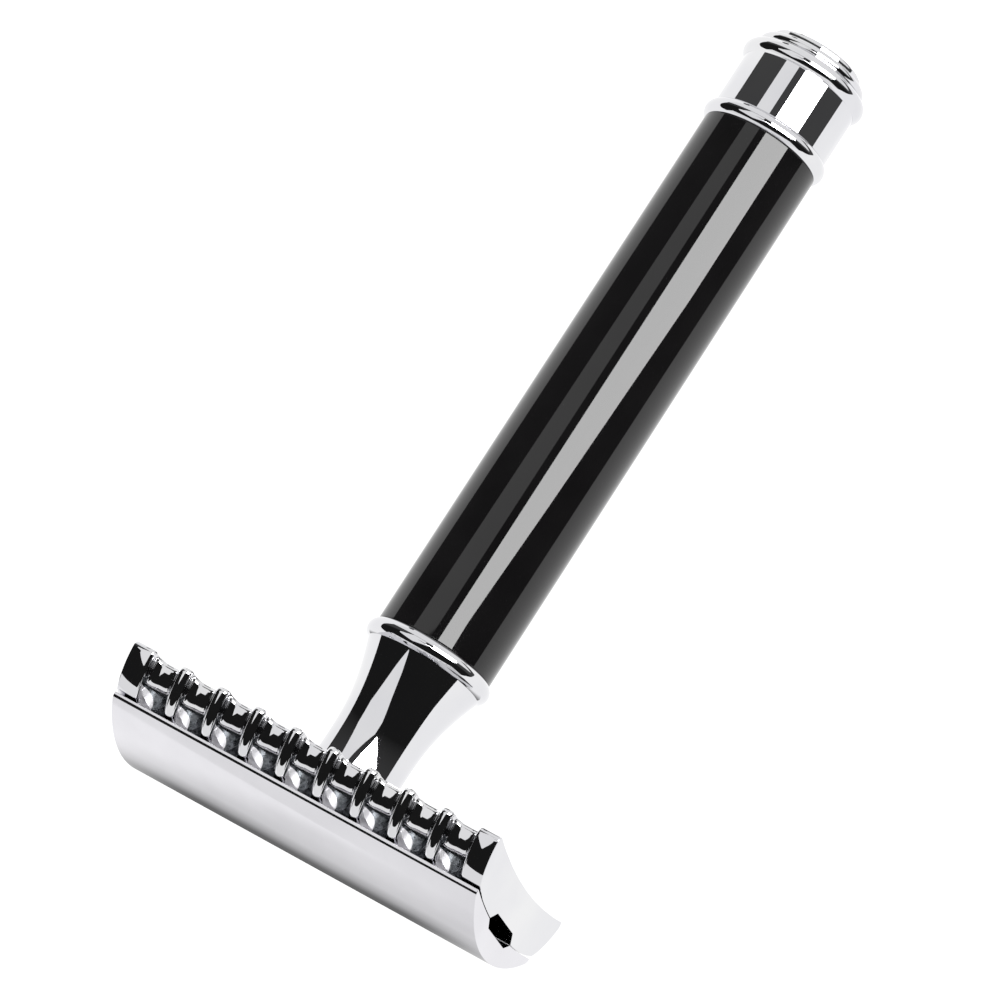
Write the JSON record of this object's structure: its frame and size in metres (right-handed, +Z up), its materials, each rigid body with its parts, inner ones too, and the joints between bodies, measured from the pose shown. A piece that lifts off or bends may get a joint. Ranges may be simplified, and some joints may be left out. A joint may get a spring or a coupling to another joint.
{
  "type": "safety razor",
  "caption": "Three-piece double-edge safety razor: domed cap, open comb plate, flared chrome neck, black resin sleeve and beaded knob.",
  "frame": {"origin": "centre of the flat end of the knob, on which the razor stands", "axes": "+Z up the handle towards the cap, X along the head and its shaving edges, Y across the head"},
  "size_m": [0.043, 0.0242, 0.0953],
  "materials": {
    "chrome": "mirror-polished chrome plate",
    "comb_chrome": "polished plate outside, as-cast inside its slots",
    "resin": "high gloss",
    "stud_metal": "plated, satin",
    "rod_steel": "bright drawn",
    "aluminium": "drawn tube",
    "brass": "turned",
    "rubber": "matt"
  },
  "bodies": {
    "handle": {"knob": "chrome", "knob_insert": "brass", "knob_sealing_ring": "rubber", "sleeve": "resin", "core_tube": "aluminium", "tie_rod": "rod_steel", "neck_sealing_ring": "rubber", "neck": "chrome", "neck_insert": "brass"},
    "comb": {"comb_plate": "comb_chrome"},
    "cap": {"cap": "chrome", "cap_stud": "stud_metal", "locating_pin_left": "stud_metal", "locating_pin_right": "stud_metal"}
  },
  "joints": [
    {"name": "head_turn", "type": "hinge", "parent": "handle", "child": "comb", "pos_m": [0, 0, 0.0874], "axis": [0, 0, 1], "range_deg": [0, 2880]},
    {"name": "cap_lift", "type": "slide", "parent": "comb", "child": "cap", "axis": [0, 0, 1], "range_m": [0, 0.00641]}
  ],
  "couplings": [
    {"joint": "cap_lift", "follows": "head_turn", "m_per_rad": 0.00012732}
  ]
}
